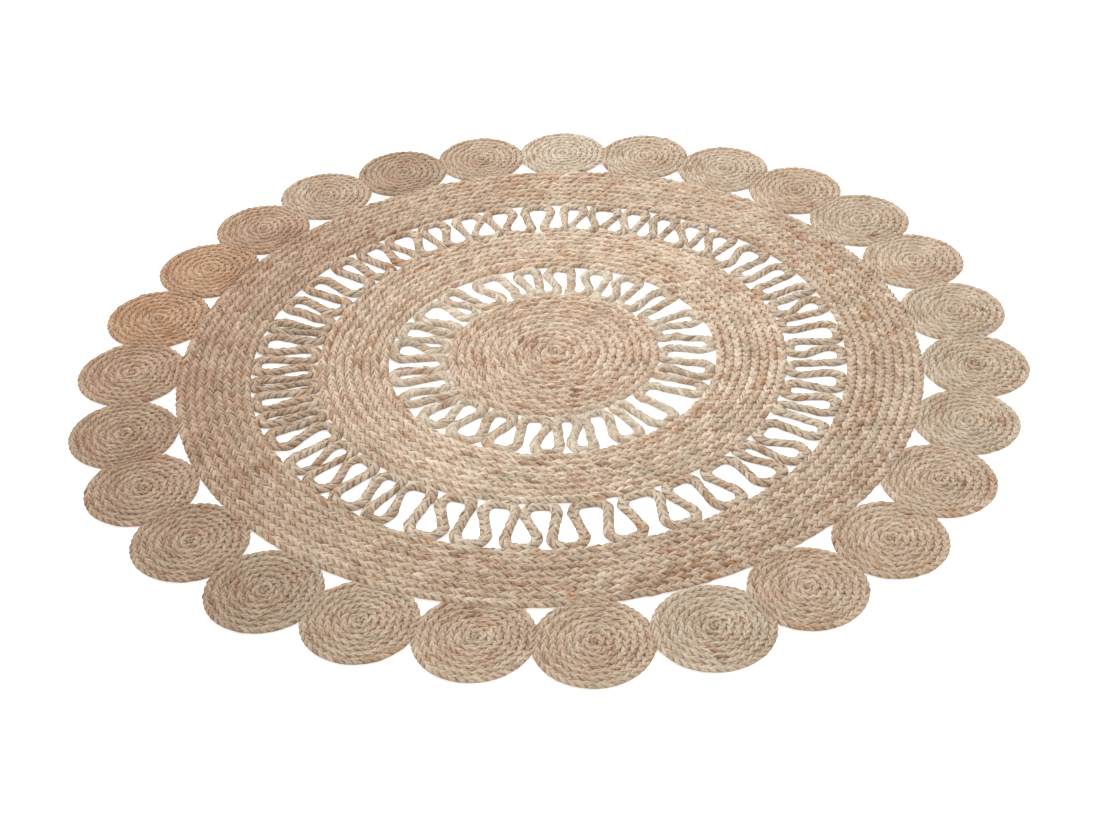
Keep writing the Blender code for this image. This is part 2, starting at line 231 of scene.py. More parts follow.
# The colour of lobes. Tone runs from dark to pale, and warmth from greyed to rusty.
STRAND_TONE_SPREAD = 0.5
LOBE_TONE_SPREAD = 0.6
STRAND_WARMTH_SPREAD = 0.5
LOBE_WARMTH_SPREAD = 0.4
COLOUR_MIDDLE = 0.5              # what the attribute says for a spread of none,
COLOUR_STEP = 0.22               # and how much more for a spread of one
STRAND_RUN = 9                   # lobes over which a strand keeps its colour
FLECK_CHANCE = 0.012             # for one lobe to start a fleck
FLECK_RUN = 2                    # the most lobes in a fleck
FLECK_STRENGTH = (0.2, 0.7)
SEAM_HEIGHT = 0.4                # how high the edge counts as, for the painted shade of the creases
FIBRE_START_SPREAD = 5.0         # so that no two rounds have the same fibres

# One closed round of braid. place(along, wide) gives points in the plane, from lengths along
# the round and distances to the right of its middle line in half widths.
Round = namedtuple("Round", "place length lobes half_width thickness")


def ring(circle_x, circle_y, radius, braid, half_width):
    """One closed round of braid on a circle."""
    length = tau * radius
    lobes = max(STRANDS, round(length / braid.pitch))

    def place(along, wide):
        angle = along / radius
        reach = radius + wide * half_width
        return np.stack((circle_x + np.cos(angle) * reach,
                         circle_y + np.sin(angle) * reach), axis=-1)

    return Round(place, length, lobes, half_width, braid.thickness)


def drifted(points):
    """Points moved by a slow wave in the plane, so that rounds lie as unevenly as by hand."""
    moved = points.copy()
    for wave_x, wave_y, start in DRIFT_WAVES:
        phase = points[:, 0] * wave_x + points[:, 1] * wave_y + start
        moved[:, 0] += np.sin(phase) * DRIFT / len(DRIFT_WAVES)
        moved[:, 1] += np.cos(phase * DRIFT_SKEW) * DRIFT / len(DRIFT_WAVES)
    return moved


def around(section):
    """The whole closed section: one row for each point, with the side that it lies on."""
    right = [(1, *point) for point in section[1:]]
    left = [(-1, *point) for point in reversed(section[1:])]
    return np.array([*left, (0, *section[0]), *right], float)


def slow_noise(rng, count, spacing):
    """Noise that changes slowly over count steps and joins up with itself."""
    knots = max(2, count // spacing)
    values = rng.standard_normal(knots)
    places = np.arange(count) * knots / count
    return np.interp(places, np.arange(knots + 1), np.append(values, values[0]))


def lobe_colours(rng, lobes, calm):
    """Tone, warmth and fleck of each right and each left lobe, as two arrays of (lobes, 3)."""
    tones = [slow_noise(rng, lobes, STRAND_RUN) for _ in range(STRANDS)]
    warmths = [slow_noise(rng, lobes, STRAND_RUN) for _ in range(STRANDS)]
    flecks = np.zeros((STRANDS, lobes))
    for strand in range(STRANDS):
        for start in np.flatnonzero(rng.random(lobes) < FLECK_CHANCE):
            run = np.arange(start, start + rng.integers(1, FLECK_RUN + 1)) % lobes
            flecks[strand, run] = rng.uniform(*FLECK_STRENGTH)
    sides = []
    for shift in (0, 1):
        strand = (np.arange(lobes) - shift) % STRANDS
        tone = (np.choose(strand, tones) * STRAND_TONE_SPREAD
                + rng.standard_normal(lobes) * LOBE_TONE_SPREAD)
        warmth = (np.choose(strand, warmths) * STRAND_WARMTH_SPREAD
                  + rng.standard_normal(lobes) * LOBE_WARMTH_SPREAD)
        spreads = np.stack((tone, warmth), axis=-1) * calm
        shown = np.clip(COLOUR_MIDDLE + spreads * COLOUR_STEP, 0, 1)
        sides.append(np.column_stack((shown, np.choose(strand, flecks))))
    return sides


def round_points(turn, outline, row, column, rng, calm, rim):
    """Points of one round of braid, from their rows along it and their columns of the outline.

    Gives their places in the plane, their heights, their places on the braid laid straight,
    and how high each is on its lobe, from 0 in a crease to 1 on a crest, which sets the painted
    shade: the edge counts lower, and the underside as deep as a crease. calm scales all that is
    uneven. rim says that the round is the outside of a wound piece.
    """
    side, across, crest, crease, run = outline[column].T
    is_left, at_edge, on_top = side < 0, across > EDGE_FROM, crest > TOP_FROM
    rows = turn.lobes * ROWS
    pitch = turn.length / turn.lobes

    # The lobe that each point is on, and how high on it. The middle line goes with both sides.
    left_row = row + LEFT_START
    right_arch, left_arch = ARCH[row % ROWS], ARCH[left_row % ROWS]
    arch = np.where(is_left, left_arch, right_arch)
    arch = np.where(side == 0, np.maximum(right_arch, left_arch), arch)
    right_lobe, left_lobe = (row // ROWS) % turn.lobes, (left_row // ROWS) % turn.lobes
    uneven = rng.standard_normal((turn.lobes * 2, 3)) * calm
    lift, swell, slip = uneven[np.where(side > 0, right_lobe, left_lobe + turn.lobes)].T
    rough = rng.standard_normal((rows, len(outline), 2))[row % rows, column] * calm

    # Its height.
    height = crease + (crest - crease) * arch
    height += on_top * lift * LOBE_HEIGHT_SPREAD * (CREASE_SHARE + (1 - CREASE_SHARE) * arch)
    height += on_top * rough[:, 0] * POINT_HEIGHT_SPREAD

    # How far to the side it is. Lobes stand out at the edge, and the middle line swings.
    bulge = EDGE_BULGE + abs(swell) * EDGE_SPREAD + rim * (side > 0) * RIM_BULGE
    wide = across + np.where(at_edge, EDGE_OVERLAP + arch * bulge, swell * LOBE_SIDE_SPREAD)
    wide = side * wide + (side == 0) * (left_arch - right_arch) * CENTRE_SWAY
    wide += (on_top & ~at_edge) * rough[:, 1] * POINT_SIDE_SPREAD

    # How far along it is. Strands run on while they cross, and lobes start unevenly.
    starts = rng.standard_normal((2, turn.lobes)) * LOBE_START_SPREAD * calm
    lobe = np.where(is_left, left_lobe, right_lobe)
    done = np.where(is_left, left_row, row) % ROWS / ROWS
    this, after = (starts[is_left.astype(int), (lobe + k) % turn.lobes] for k in (0, 1))
    shift = (this * (1 - done) + after * done) * (side != 0)
    start = row * turn.length / rows
    along = start + (run * LOBE_RUN + shift) * pitch
    along += slip * LOBE_SLIP_SPREAD * pitch * (row % ROWS != 0)

    # Its place on the braid laid straight, with the underside opened out beside the top.
    laid = np.column_stack((start + rng.uniform(0, FIBRE_START_SPREAD),
                            (wide + side * ~on_top) * turn.half_width))
    # How high each point counts for the painted shade of the creases.
    lobe_height = on_top * arch * np.where(at_edge, SEAM_HEIGHT, 1.0)
    return turn.place(along % turn.length, wide), height * turn.thickness, laid, lobe_height


def parts(rounds, columns, more):
    """Each round's share of the points, with more as 1, or of the faces, with more as 0."""
    sizes = [(turn.lobes * ROWS + more) * (columns + more) for turn in rounds]
    ends = np.cumsum(sizes).tolist()
    return [slice(end - size, end) for size, end in zip(sizes, ends)]


def flat_grids(name, rounds, columns):
    """A mesh with a flat grid for each round, and the row and column of each of its points."""
    bm = bmesh.new()
    for turn in rounds:
        bmesh.ops.create_grid(bm, x_segments=turn.lobes * ROWS, y_segments=columns, size=1.0)
    mesh = bpy.data.meshes.new(name)
    bm.to_mesh(mesh)
    bm.free()
    flat = np.empty(len(mesh.vertices) * 3, np.float32)
    mesh.vertices.foreach_get("co", flat)
    shares = (flat.reshape(-1, 3)[:, :2] + 1) / 2
    cells = np.empty(shares.shape, int)
    for turn, part in zip(rounds, parts(rounds, columns, 1)):
        cells[part] = np.rint(shares[part] * (turn.lobes * ROWS, columns))
    return mesh, cells


def seams_of(row, column, first):
    """Which of a round's points are welded to which: the last row and column to the first."""
    grid = np.empty((row.max() + 1, column.max() + 1), int)
    grid[row, column] = np.arange(first, first + len(row))
    seams = dict(zip(grid[-1, :].tolist(), grid[0, :].tolist()))
    seams.update(zip(grid[:-1, -1].tolist(), grid[:-1, 0].tolist()))
    seams[int(grid[-1, -1])] = int(grid[0, 0])
    return seams


def face_colours(turn, face_cells, columns, rights, lefts):
    """The colours of a round's faces, each from the lobe that it is on."""
    row, column = face_cells.T
    right = rights[(row // ROWS) % turn.lobes]
    left = lefts[((row + LEFT_START) // ROWS) % turn.lobes]
    return np.where((column >= columns // 2)[:, None], right, left)


def close_seams(mesh, seams):
    """Weld a mesh's seams, turn its faces outwards, and keep the creases between lobes sharp."""
    bm = bmesh.new()
    bm.from_mesh(mesh)
    bm.verts.ensure_lookup_table()
    targets = {bm.verts[a]: bm.verts[b] for a, b in seams.items()}
    bmesh.ops.weld_verts(bm, targetmap=targets)
    bmesh.ops.recalc_face_normals(bm, faces=bm.faces)
    bm.to_mesh(mesh)
    bm.free()
    mesh.shade_smooth()
    mesh.set_sharp_from_angle(angle=CREASE_ANGLE)


def braid_piece(name, rounds, section, seed, shape=drifted, calm=1.0):
    """A piece made of closed rounds of braid.

    Each round starts as a flat grid. It is wrapped round the section and along its path, and
    its two pairs of edges are welded. shape moves the finished points in the plane.
    """
    rng = np.random.default_rng(seed)
    outline = around(section)
    columns = len(outline)
    mesh, cells = flat_grids(name, rounds, columns)
    corners = np.empty(len(mesh.loops), int)
    mesh.loops.foreach_get("vertex_index", corners)
    face_cells = cells[corners.reshape(-1, 4)].min(axis=1)

    points = np.empty((len(cells), 3))
    laid = np.empty((len(cells), 2))
    crease_shade_height = np.empty(len(cells))
    colours = np.ones((len(face_cells), 4), np.float32)
    seams = {}
    for turn, part, faces in zip(rounds, parts(rounds, columns, 1), parts(rounds, columns, 0)):
        row, column = cells[part].T
        rim = len(rounds) > 1 and turn is rounds[-1]
        plane, points[part, 2], laid[part], crease_shade_height[part] = round_points(
            turn, outline, row, column % columns, rng, calm, rim)
        points[part, :2] = shape(plane)
        sides = lobe_colours(rng, turn.lobes, calm)
        colours[faces, :3] = face_colours(turn, face_cells[faces], columns, *sides)
        seams.update(seams_of(row, column, part.start))
    mesh.vertices.foreach_set("co", points.astype(np.float32).ravel())

    lobe_layer = mesh.attributes.new("lobe", "FLOAT_COLOR", "FACE")
    lobe_layer.data.foreach_set("color", colours.ravel())
    # Painted shade: each point's height on its lobe, by which the material darkens the creases.
    crease_shade_layer = mesh.attributes.new("crease_shade_height", "FLOAT", "POINT")
    crease_shade_layer.data.foreach_set("value", crease_shade_height.astype(np.float32))
    fibre_layer = mesh.uv_layers.new(name="fibres")
    fibre_layer.data.foreach_set("uv", laid[corners].astype(np.float32).ravel())
    close_seams(mesh, seams)
    piece = bpy.data.objects.new(name, mesh)
    bpy.context.scene.collection.objects.link(piece)
    return piece


# ---------------------------------------------------------------------------------------------
# Looped strands
# ---------------------------------------------------------------------------------------------

def reach_of(circle, angle):
    """Distance from the rug's centre to a circle along the ray at an angle."""
    along = circle.x * cos(angle) + circle.y * sin(angle)
    across = circle.x * sin(angle) - circle.y * cos(angle)
    return along + (circle.radius**2 - across**2) ** 0.5


def share_room(angles, holes, level):
    """Sizes of the holes in a row of heads, and half widths of the legs before each head.

    level is how far from the rug's centre the heads are widest. The two legs between
    neighbouring holes share the room there, so that they lie against each other, unless that
    would take a leg thinner or thicker than a plait goes.
    """
    halves = 2 * LEGS_BETWEEN_HOLES
    open_holes = [hole * MM for hole in holes]
    turns = [radians((angles[i] - angles[i - 1]) % 360.0) for i in range(len(angles))]
    for i, turn in enumerate(turns):
        room = turn * level - NECK_GAP - halves * LEG_LEAST
        crowding = min(1.0, 2 * room / ((holes[i] + holes[i - 1]) * MM))
        open_holes[i] = min(open_holes[i], holes[i] * MM * crowding)
        open_holes[i - 1] = min(open_holes[i - 1], holes[i - 1] * MM * crowding)
    legs = []
    for i, turn in enumerate(turns):
        room = turn * level - NECK_GAP - (open_holes[i] + open_holes[i - 1]) / 2
        leftness = max(0.0, -cos(radians(angles[i])))
        most = LEG_LOOSE + (LEG_PRESSED - LEG_LOOSE) * leftness
        legs.append(min(max(room / halves, LEG_LEAST), most))
    return open_holes, legs


def head_points(angle, hole, legs, back, inwards):
    """Six points of a head: up one side, the two ends of its flat back, down the other side.

    Each is (x, y, half width of the plait). inwards is +1 for a head sewn to the outer plait
    and -1 for one sewn to the inner plait.
    """
    before, after = (hole / 2 + leg for leg in legs)
    depths = [min(HEAD_DEPTH, HEAD_ROUNDNESS * reach + HEAD_LEAST_DEPTH)
              for reach in (before, after)]
    half = LOOP_WIDTH / 2
    corners = (
        (-before * SIDE_DRAWN_IN, back - inwards * (depths[0] + SIDE_RUN), legs[0]),
        (-before, back - inwards * depths[0], legs[0]),
        (-before * HEAD_FLAT, back, half),
        (after * HEAD_FLAT, back, half),
        (after, back - inwards * depths[1], legs[1]),
        (after * SIDE_DRAWN_IN, back - inwards * (depths[1] + SIDE_RUN), legs[1]))
    points = []
    for across, radius, width in corners:
        place = angle + np.arcsin(across / radius)
        points.append((cos(place) * radius, sin(place) * radius, width))
    return points


def strand_corners(waves, inner, outer):
    """Corners of the strand's closed centre line, head after head, with half widths there."""
    seat = LOOP_WIDTH / 2 + LOOP_SEAT_GAP
    out_angles = [w.out_angle for w in waves]
    in_angles = [w.in_angle for w in waves]
    out_holes, out_legs = share_room(
        out_angles, [w.out_hole for w in waves], outer.radius - seat - HEAD_DEPTH)
    in_holes, in_legs = share_room(
        in_angles, [w.in_hole for w in waves], inner.radius + seat + HEAD_DEPTH)
    corners = []
    for i in range(len(waves)):
        after = (i + 1) % len(waves)
        angle = radians(out_angles[i])
        corners += head_points(angle, out_holes[i], (out_legs[i], out_legs[after]),
                               reach_of(outer, angle) - seat, 1)
        angle = radians(in_angles[i])
        corners += head_points(angle, in_holes[i], (in_legs[i], in_legs[after]),
                               reach_of(inner, angle) + seat, -1)
    return np.array(corners)


def closed_length(points):
    """Length up to each point of a closed line, and the whole length."""
    steps = np.linalg.norm((np.roll(points, -1, axis=0) - points)[:, :2], axis=1)
    return np.concatenate(([0.0], np.cumsum(steps)))


def sampled(points, lengths, places):
    """A closed line's columns at places along it."""
    closed = np.vstack((points, points[:1]))
    return np.stack([np.interp(places, lengths, column) for column in closed.T], axis=-1)


def resampled(points, spacing):
    lengths = closed_length(points)
    count = round(lengths[-1] / spacing)
    return sampled(points, lengths, np.arange(count) * lengths[-1] / count)


def eased(points, sigma):
    """The closed line with its corners rounded off, by a Gaussian blur along it."""
    reach = int(4 * sigma)
    steps = np.arange(-reach, reach + 1)
    weights = np.exp(-(steps / sigma) ** 2 / 2)
    weights /= weights.sum()
    return sum(weight * np.roll(points, -int(step), axis=0)
               for step, weight in zip(steps, weights))


def strand(waves, inner, outer):
    """One closed round of braid along the loops."""
    ease = BEND_EASE / STRAND_SAMPLE
    line = resampled(strand_corners(waves, inner, outer), STRAND_SAMPLE)
    line = resampled(eased(line, ease), STRAND_SAMPLE)
    lengths = closed_length(line)
    heading = (np.roll(line, -1, axis=0) - np.roll(line, 1, axis=0))[:, :2]
    heading /= np.linalg.norm(heading, axis=1)[:, None]
    right = np.stack((heading[:, 1], -heading[:, 0]), axis=-1)
    turning = np.roll(heading, -1, axis=0) - np.roll(heading, 1, axis=0)
    bend = (turning * right).sum(axis=1) / (2 * STRAND_SAMPLE) * LOOP_WIDTH / 2
    bend = eased(bend, ease)
    right_half = line[:, 2] * (1 + BEND_SPREAD * np.clip(-bend, 0, 1))
    left_half = line[:, 2] * (1 + BEND_SPREAD * np.clip(bend, 0, 1))
    table = np.column_stack((line[:, :2], right, left_half, right_half))

    def place(along, wide):
        x, y, right_x, right_y, to_left, to_right = sampled(table, lengths, along).T
        offset = wide * np.where(wide > 0, to_right, to_left)
        return np.stack((x + right_x * offset, y + right_y * offset), axis=-1)

    lobes = round(lengths[-1] / LOOP_BRAID.pitch)
    half_width = (left_half + right_half).mean() / 2
    return Round(place, lengths[-1], lobes, half_width, LOOP_BRAID.thickness)


# ---------------------------------------------------------------------------------------------
# Wound bands and discs
# ---------------------------------------------------------------------------------------------

def band_rounds(inside, outside, count, braid):
    """Rounds of a band, from its inside outwards."""
    width = (outside.radius - inside.radius) / count
    return [ring(outside.x, outside.y, inside.radius + (k + 0.5) * width, braid, width / 2)
            for k in range(count)]


def disc_rounds(centre_x, centre_y, radius, count, braid):
    """Rounds of a coiled disc, from the knob in its middle outwards."""
    knob = radius / (2 * count + 1)
    rounds = [ring(centre_x, centre_y, knob / 2, braid, knob / 2)]
    rounds += [ring(centre_x, centre_y, (2 * k + 2) * knob, braid, knob) for k in range(count)]
    return rounds


def roundel_centre(row):
    angle = radians(row.angle)
    return np.array((cos(angle), sin(angle))) * row.distance * MM


def pressing_lines(index):
    """Lines that bound a roundel, as (direction from its centre, distance)."""
    row = ROUNDELS[index]
    centre = roundel_centre(row)
    to_band = row.distance * MM - OUTER_OUTSIDE.radius - SEAM_GAP
    lines = [(radians(row.angle) + pi, to_band)]
    for other in (ROUNDELS[index - 1], ROUNDELS[(index + 1) % len(ROUNDELS)]):
        apart = roundel_centre(other) - centre
        reach = np.linalg.norm(apart)
        share = (reach**2 + (row.radius * MM)**2 - (other.radius * MM)**2) / (2 * reach)
        lines.append((atan2(apart[1], apart[0]), share - SEAM_GAP / 2))
    return lines


def pressed(points, centre, radius, lines):
    """Points drawn in behind each line at the rim, and less and less towards the centre."""
    local = points - centre
    heading = np.arctan2(local[:, 1], local[:, 0])
    limit = np.full(len(local), radius)
    for direction, distance in lines:
        facing = np.cos(heading - direction)
        to_line = distance / np.maximum(facing, FACING_LEAST)
        limit = np.minimum(limit, np.where(facing > FACING_LEAST, to_line, radius))
    share = np.linalg.norm(local, axis=1) / radius
    scale = 1.0 - (1.0 - limit / radius) * share**PRESSED_POWER
    return centre + local * scale[:, None]


# ---------------------------------------------------------------------------------------------
# Materials
# ---------------------------------------------------------------------------------------------

def linear(hex_colour):
    """An sRGB hex colour as linear red, green, blue and alpha."""
    channels = [int(hex_colour[k:k + 2], 16) / 255 for k in (0, 2, 4)]
    return (*[c / 12.92 if c <= 0.04045 else ((c + 0.055) / 1.055) ** 2.4
              for c in channels], 1.0)


def scaled(hex_colour, shares):
    """A hex colour turned linear and darkened or brightened channel by channel."""
    return (*[min(c * share, 1.0) for c, share in zip(linear(hex_colour), shares)], 1.0)


def add(tree, kind, sockets=(), **settings):
    """A node with settings on it, and its sockets set or linked as (name or number, value)."""
    node = tree.nodes.new(kind)
    for key, value in settings.items():
        setattr(node, key, value)
    for name, value in sockets:
        if isinstance(value, bpy.types.NodeSocket):
            tree.links.new(value, node.inputs[name])
        else:
            is_hex = isinstance(value, str)
            node.inputs[name].default_value = linear(value) if is_hex else value
    return node


def mix(tree, factor, a, b, way="MIX"):
    """Colour a turning into colour b, or into the two mixed in another way, by the factor."""
    return add(tree, "ShaderNodeMix", [("Factor", factor), ("A", a), ("B", b)],
               data_type="RGBA", blend_type=way).outputs["Result"]


def calculate(tree, operation, *values):
    return add(tree, "ShaderNodeMath", enumerate(values), operation=operation).outputs[0]


def remap(tree, value, low, high, to_low=0.0, to_high=1.0):
    """A value's way from low to high, clamped, as a value from to_low to to_high."""
    return add(tree, "ShaderNodeMapRange", [
        ("Value", value), ("From Min", low), ("From Max", high),
        ("To Min", to_low), ("To Max", to_high)]).outputs["Result"]


def ramp(tree, factor, stops):
    """A colour ramp through (position, linear colour) stops."""
    node = add(tree, "ShaderNodeValToRGB", [("Fac", factor)])
    elements = node.color_ramp.elements
    while len(elements) < len(stops):
        elements.new(0.5)
    for element, (position, colour) in zip(elements, stops):
        element.position = position
        element.color = colour
    return node.outputs["Color"]


def noise(tree, vector, scale, detail=3.0, roughness=0.6):
    """Noise spread out over 0 to 1, where the plain noise keeps near its middle."""
    plain_noise = add(tree, "ShaderNodeTexNoise", [
        ("Vector", vector), ("Scale", scale), ("Detail", detail), ("Roughness", roughness)])
    return remap(tree, plain_noise.outputs["Fac"], *PLAIN_NOISE_REACH)


# Shades of jute: the common colour of its strands. Dark and pale strands go from it by a
# factor for each channel.
SHADES = {
    "cream": "E1CAB1",
    "fawn": "DDC4AB",
    "pale": "D6C5AF",
    "straw": "D0BBA3",
    "tan": "D2BAA1",
    "greyed": "C9B299",
    "bran": "CFB69C",
    "drab": "C2AC94",
    "rust": "D4B393",
}
DARK_SHARE = (0.58, 0.42, 0.29)
PALE_SHARE = (1.30, 1.42, 1.52)
# Painted shade, laid in the creases between strands and under them.
CREASE_SHADE_COLOUR = "4E3522"
RUSTY_FLECK = "A8693C"
BARK_FLECK = "80604A"
GREYED_COLOUR = "B6AD95"
WARMED_COLOUR = "BC8454"
AGED_TINT = "E4DAD4"             # browner, older bales went into the left side of the rug
AGED_SIDE = (-0.97, 0.24, 0.0)   # the way to that side
AGED_FROM = 0.10                 # how far that way they begin, and where there are no others
AGED_TO = 0.50

FIBRE_WIDTH = 3.0 * MM           # jute fibres are far finer; drawn this coarse so that they show
FIBRE_LENGTH = 9.0 * MM
FIBRE_RELIEF = 0.8 * MM
MOTTLE_SIZE = 3.0 * MM           # specks of bark, and ends of fibre that stand out
PATCH_SIZE = 70.0 * MM           # patches of paler and darker plait along the rounds
HUE_SIZE = PATCH_SIZE / 1.7      # patches of greyer and rustier plait
PLAIN_NOISE_REACH = (0.3, 0.7)   # nearly all of the plain noise lies between these

# What each pattern adds to a lobe's tone, and the sums for the darkest and the palest plait.
FIBRE_SHARE = 0.7
MOTTLE_SHARE = 0.7
PATCH_SHARE = 0.35
DARKEST, PALEST = 0.75, 2.0

# What the patches add to a lobe's warmth. Then the sums at which plait begins to turn grey or
# rusty and at which it has turned as far as it goes, and how far it has turned at each.
HUE_SHARE = 0.5
GREYED = (0.65, 0.30, 0.0, 0.6)
WARMED = (0.85, 1.25, 0.0, 0.7)
BARK_TO_RUST = (0.45, 0.55)      # warmth at which a fleck is bark, and at which it is rusty

CREASE_SHADE_TOP = 0.8                    # height on a lobe at which the painted shade of the creases ends
CREASE_SHADE_IN_MOTTLE = (1.0, 0.0, 0.5, 1.0)   # the painted shade is broken up by the mottle

JUTE_ROUGHNESS = 0.9
JUTE_SPECULAR = 0.25
JUTE_SHEEN = 0.08
JUTE_SHEEN_ROUGHNESS = 0.6


def empty_material(name):
    """A new material, and its node tree with nothing in it."""
    material = bpy.data.materials.new(name)
    material.use_nodes = True
    material.node_tree.nodes.clear()
    return material, material.node_tree


def jute(name, shade, creases):
    """Raw jute, spun loosely and braided: a dull, dry bast fibre with next to no shine.

    Its strands differ in tone, from straw to brown. Shade is painted into the creases between
    them and under them, in dark brown; creases says how dark that painted shade is.
    """
    material, tree = empty_material(name)
    lobe = add(tree, "ShaderNodeAttribute", attribute_name="lobe").outputs["Color"]
    split = add(tree, "ShaderNodeSeparateColor", [("Color", lobe)])
    tone, warmth, fleck = (split.outputs[k] for k in ("Red", "Green", "Blue"))
    # How high each point is on its lobe, which sets the painted shade of the creases.
    height = add(tree, "ShaderNodeAttribute", attribute_name="crease_shade_height").outputs["Fac"]

    # Fibres: noise on the braid laid straight, drawn out along the strands.
    laid = add(tree, "ShaderNodeUVMap", uv_map="fibres").outputs["UV"]
    fibre_scale = (1 / FIBRE_WIDTH, 1 / FIBRE_LENGTH, 1.0)
    stretched = add(tree, "ShaderNodeMapping", [("Vector", laid), ("Scale", fibre_scale)])
    fibres = noise(tree, stretched.outputs["Vector"], 1.0)

    # Mottle and patches: specks of bark, and plait that came from paler or darker bales.
    place = add(tree, "ShaderNodeTexCoord").outputs["Object"]
    mottle = noise(tree, place, 1 / MOTTLE_SIZE, detail=4.0, roughness=0.7)
    patches = noise(tree, place, 1 / PATCH_SIZE)
    hues = noise(tree, place, 1 / HUE_SIZE)

    level = tone
    for part, share in ((fibres, FIBRE_SHARE), (mottle, MOTTLE_SHARE), (patches, PATCH_SHARE)):
        level = calculate(tree, "MULTIPLY_ADD", part, share, level)
    colour = SHADES[shade]
    body = ramp(tree, remap(tree, level, DARKEST, PALEST), (
        (0.0, scaled(colour, DARK_SHARE)), (0.5, linear(colour)),
        (1.0, scaled(colour, PALE_SHARE))))

    # Greyed and rusty plait, flecks of bark and rust, and the browner side.
    hue = calculate(tree, "MULTIPLY_ADD", hues, HUE_SHARE, warmth)
    body = mix(tree, remap(tree, hue, *GREYED), body, GREYED_COLOUR)
    body = mix(tree, remap(tree, hue, *WARMED), body, WARMED_COLOUR)
    fleck_colour = mix(tree, remap(tree, warmth, *BARK_TO_RUST), BARK_FLECK, RUSTY_FLECK)
    body = mix(tree, fleck, body, fleck_colour)
    aged = add(tree, "ShaderNodeVectorMath", [(0, place), (1, AGED_SIDE)],
               operation="DOT_PRODUCT").outputs["Value"]
    body = mix(tree, remap(tree, aged, AGED_FROM, AGED_TO), body, AGED_TINT, "MULTIPLY")

    # Painted shade: dark brown in the creases between the strands and under them.
    painted_shade = calculate(tree, "MULTIPLY", remap(tree, height, CREASE_SHADE_TOP, 0.0),
                     remap(tree, mottle, *CREASE_SHADE_IN_MOTTLE))
    body = mix(tree, calculate(tree, "MULTIPLY", painted_shade, creases), body, CREASE_SHADE_COLOUR)

    relief = calculate(tree, "ADD", fibres, mottle)
    bump = add(tree, "ShaderNodeBump", [
        ("Strength", 1.0), ("Distance", FIBRE_RELIEF), ("Height", relief)]).outputs["Normal"]
    surface = add(tree, "ShaderNodeBsdfPrincipled", [
        ("Base Color", body), ("Normal", bump), ("Roughness", JUTE_ROUGHNESS),
        ("Specular IOR Level", JUTE_SPECULAR), ("Sheen Weight", JUTE_SHEEN),
        ("Sheen Roughness", JUTE_SHEEN_ROUGHNESS)])
    add(tree, "ShaderNodeOutputMaterial", [("Surface", surface.outputs[0])])
    return material


def paper(name, colour, roughness, glow):
    """Lit paper sweep: an even, pale, dull ground that glows a little from below."""
    material, tree = empty_material(name)
    surface = add(tree, "ShaderNodeBsdfPrincipled", [
        ("Base Color", colour), ("Roughness", roughness), ("Specular IOR Level", 0.0),
        ("Emission Color", colour), ("Emission Strength", glow)])
    add(tree, "ShaderNodeOutputMaterial", [("Surface", surface.outputs[0])])
    return material


# ---------------------------------------------------------------------------------------------
# Stage, light and camera
# ---------------------------------------------------------------------------------------------

FLOOR_SIZE = 14.0
FLOOR_COLOUR = "F6F6F5"
FLOOR_ROUGHNESS = 0.9
FLOOR_GLOW = 0.6

SENSOR_WIDTH = 36.0              # in mm, as is the focal length
FOCAL_LENGTH = 60.22
CAMERA_ELEVATION = 0.6405
CAMERA_DISTANCE = 2.823
CAMERA_ROLL = -0.04745
CAMERA_SEES_FROM, CAMERA_SEES_TO = 0.05, 40.0
LOOKED_AT = Vector((-0.0013, -0.1516, 0.004))

SoftLight = namedtuple("SoftLight", "name x y z size power")
LIGHTS = [SoftLight(*row) for row in (
    ("key_light", -1.8, 2.2, 2.2, 1.2, 90.0),
    ("fill_light", 2.2, -1.6, 3.0, 2.6, 30.0),
)]
SKY_COLOUR = "FFFFFF"
SKY_STRENGTH = 0.80


def make_floor():
    bm = bmesh.new()
    bmesh.ops.create_grid(bm, x_segments=1, y_segments=1, size=FLOOR_SIZE / 2)
    mesh = bpy.data.meshes.new("floor")
    bm.to_mesh(mesh)
    bm.free()
    mesh.transform(Matrix.Translation((0, 0, CAD_BOX[0].z)))
    mesh.materials.append(paper("pale_floor", FLOOR_COLOUR, FLOOR_ROUGHNESS, FLOOR_GLOW))
    floor = bpy.data.objects.new("floor", mesh)
    bpy.context.scene.collection.objects.link(floor)
    return floor


def make_light(row):
    lamp = bpy.data.lights.new(row.name, "AREA")
    lamp.size = row.size
    lamp.energy = row.power
    light = bpy.data.objects.new(row.name, lamp)
    light.location = (row.x, row.y, row.z)
    light.rotation_euler = (-light.location).to_track_quat("-Z", "Y").to_euler()
    bpy.context.scene.collection.objects.link(light)
    return light


def make_sky():
    world = bpy.data.worlds.new("sky")
    world.use_nodes = True
    background = world.node_tree.nodes["Background"]
    background.inputs["Color"].default_value = linear(SKY_COLOUR)
    background.inputs["Strength"].default_value = SKY_STRENGTH
    bpy.context.scene.world = world
    bpy.context.scene.view_settings.view_transform = "Standard"


def make_camera():
    lens = bpy.data.cameras.new("camera")
    lens.lens = FOCAL_LENGTH
    lens.sensor_width = SENSOR_WIDTH
    lens.clip_start = CAMERA_SEES_FROM
    lens.clip_end = CAMERA_SEES_TO
    camera = bpy.data.objects.new("camera", lens)
    away = Vector((0, -cos(CAMERA_ELEVATION), sin(CAMERA_ELEVATION)))
    camera.location = LOOKED_AT + away * CAMERA_DISTANCE
    turn = away.to_track_quat("Z", "Y").to_matrix() @ Matrix.Rotation(CAMERA_ROLL, 3, "Z")
    camera.rotation_euler = turn.to_euler()
    bpy.context.scene.collection.objects.link(camera)
    bpy.context.scene.camera = camera


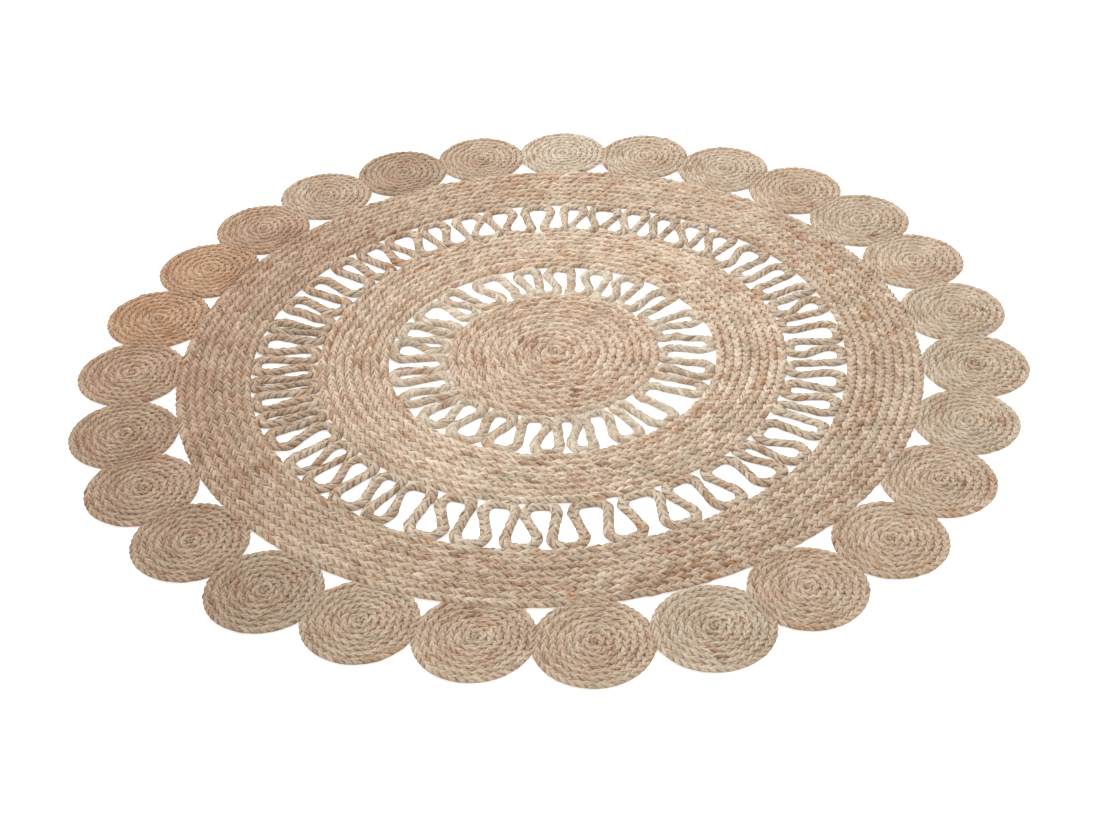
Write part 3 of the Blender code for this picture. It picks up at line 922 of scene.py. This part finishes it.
# ---------------------------------------------------------------------------------------------
# The rug
# ---------------------------------------------------------------------------------------------

ROUNDEL_SEED = 100               # of the first roundel
ROUNDEL_CALM = 0.7
# How dark the painted shade in the roundels' creases is.
ROUNDEL_CREASE_SHADE = 0.7


def finish_piece(piece, node, shade, creases):
    piece.data.materials.append(jute(f"{node}_jute", shade, creases))
    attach(piece, "root")
    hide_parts(node)


def make_roundel(index):
    row = ROUNDELS[index]
    node = f"roundel_{index + 1:02d}"
    centre = roundel_centre(row)
    radius = row.radius * MM
    lines = pressing_lines(index)
    rounds = disc_rounds(*centre, radius, ROUNDEL_ROUNDS, FINE_BRAID)

    def pressed_and_drifted(points):
        return drifted(pressed(points, centre, radius, lines))

    piece = braid_piece(f"{node}_plait", rounds, FINE_SECTION, ROUNDEL_SEED + index,
                        pressed_and_drifted, ROUNDEL_CALM)
    finish_piece(piece, node, row.shade, ROUNDEL_CREASE_SHADE)


FLOOR = make_floor()
for light_row in LIGHTS:
    make_light(light_row)
make_sky()
make_camera()

coil = disc_rounds(COIL_EDGE.x, COIL_EDGE.y, COIL_EDGE.radius, COIL_ROUNDS, COIL_BRAID)
middle = band_rounds(MIDDLE_INSIDE, MIDDLE_OUTSIDE, BAND_ROUNDS, MIDDLE_BRAID)
outer = band_rounds(OUTER_INSIDE, OUTER_OUTSIDE, BAND_ROUNDS, OUTER_BRAID)
inner_loops = [strand(INNER_WAVES, COIL_EDGE, MIDDLE_INSIDE)]
outer_loops = [strand(OUTER_WAVES, MIDDLE_OUTSIDE, OUTER_INSIDE)]
# The last column says how dark the painted shade in each piece's creases is.
for seed, (node, rounds, section, shade, creases) in enumerate((
        ("centre_coil", coil, FULL_SECTION, "fawn", 0.6),
        ("inner_meander", inner_loops, LOOP_SECTION, "pale", 0.6),
        ("middle_band", middle, FULL_SECTION, "cream", 0.7),
        ("outer_meander", outer_loops, LOOP_SECTION, "straw", 1.0),
        ("outer_band", outer, BAND_SECTION, "tan", 0.7))):
    piece = braid_piece(f"{node}_plait", rounds, section, seed)
    finish_piece(piece, node, shade, creases)

for index in range(len(ROUNDELS)):
    make_roundel(index)
